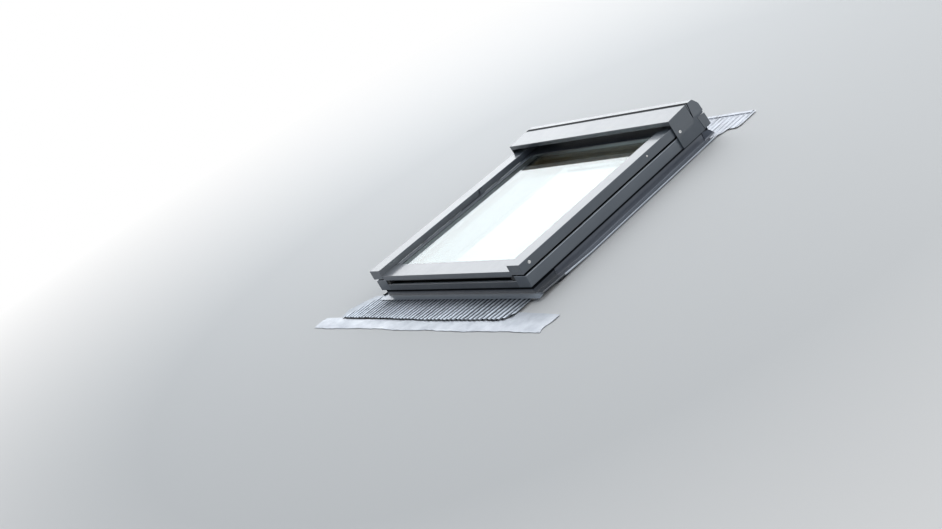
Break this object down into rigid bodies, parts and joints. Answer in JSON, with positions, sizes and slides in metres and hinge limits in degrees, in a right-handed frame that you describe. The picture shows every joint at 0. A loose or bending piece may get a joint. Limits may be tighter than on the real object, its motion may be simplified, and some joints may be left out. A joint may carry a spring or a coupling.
{
  "type": "roof skylight",
  "caption": "Centre-pivot roof window with a timber frame, folded metal cladding, a raised hood, pleated flashing and a control bar with a ventilation flap.",
  "frame": {"origin": "centre of the four fixing-bracket holes, in the plane where the brackets bear on the roof battens", "axes": "+X to the right across the window, +Y up the slope of the roof, +Z out of the roof"},
  "size_m": [1.266, 1.3115, 0.2024],
  "materials": {
    "pine": "clear lacquer",
    "cladding": "grey lacquered aluminium sheet",
    "dark_plastic": "matt",
    "flashing": "grey lacquered aluminium sheet",
    "apron": "pleated soft metal",
    "lead": "dull soft metal sheet",
    "glass": "clear",
    "black_seal": "matt",
    "spacer": "satin",
    "zinc_steel": "zinc plated",
    "stainless": "polished",
    "white_plastic": "matt",
    "filter_foam": "open foam",
    "flap_aluminium": "satin anodised"
  },
  "bodies": {
    "frame": {"frame_side_left": "pine", "frame_side_right": "pine", "frame_bottom_rail": "pine", "frame_top_rail": "pine", "lower_side_strips": "black_seal", "upper_strips": "black_seal", "sill_seal": "black_seal", "fixing_brackets": "zinc_steel", "bracket_screws": "zinc_steel", "frame_cover_left": "cladding", "frame_cover_right": "cladding", "frame_cover_bottom": "cladding", "upper_cover_left": "cladding", "upper_cover_right": "cladding", "frame_cover_brackets": "zinc_steel", "upper_cover_screws": "stainless", "hood_top": "cladding", "hood_rear": "cladding", "hood_ends": "cladding", "frame_cover_top": "cladding", "hood_corners": "dark_plastic", "hood_supports": "dark_plastic", "hood_screws": "stainless", "flashing_bottom": "flashing", "pleated_apron": "apron", "lead_sheet": "lead", "flashing_side_left": "flashing", "flashing_side_right": "flashing", "flashing_top": "flashing", "hinge_frame_left": "zinc_steel", "hinge_frame_right": "zinc_steel", "strike_plate": "zinc_steel", "bolt_bushes": "white_plastic", "corner_plugs": "black_seal"},
    "sash": {"sash_stile_left": "pine", "sash_stile_right": "pine", "sash_bottom_rail": "pine", "sash_top_rail": "pine", "outer_pane": "glass", "inner_pane": "glass", "pane_spacer": "spacer", "glazing_tape": "black_seal", "glazing_seal": "black_seal", "glazing_beads": "cladding", "sash_cover_left": "cladding", "sash_cover_right": "cladding", "sash_cover_bottom": "cladding", "sash_cover_top": "cladding", "sash_cover_brackets": "zinc_steel", "sash_cover_screws": "stainless", "hinge_sash_left": "zinc_steel", "hinge_sash_right": "zinc_steel", "lock_case": "zinc_steel", "air_filter": "filter_foam", "flap_hinges": "white_plastic"},
    "vent_flap": {"vent_flap": "flap_aluminium", "control_bar": "flap_aluminium"},
    "latch": {"latch_hook": "zinc_steel"},
    "barrel_bolt": {"barrel_bolt": "zinc_steel"}
  },
  "joints": [
    {"name": "sash_pivot", "type": "hinge", "parent": "frame", "child": "sash", "pos_m": [0, 0, 0.128], "axis": [-1, 0, 0], "range_deg": [0, 160]},
    {"name": "flap_hinge", "type": "hinge", "parent": "sash", "child": "vent_flap", "pos_m": [0, 0.395, 0.022], "axis": [1, 0, 0], "range_deg": [0, 30]},
    {"name": "latch_pivot", "type": "hinge", "parent": "sash", "child": "latch", "pos_m": [0, 0.434, 0.066], "axis": [-1, 0, 0], "range_deg": [0, 75]},
    {"name": "bolt_slide", "type": "slide", "parent": "sash", "child": "barrel_bolt", "axis": [-1, 0, 0], "range_m": [0, 0.018]}
  ],
  "couplings": [
    {"joint": "latch_pivot", "follows": "flap_hinge", "ratio": 2.5}
  ]
}
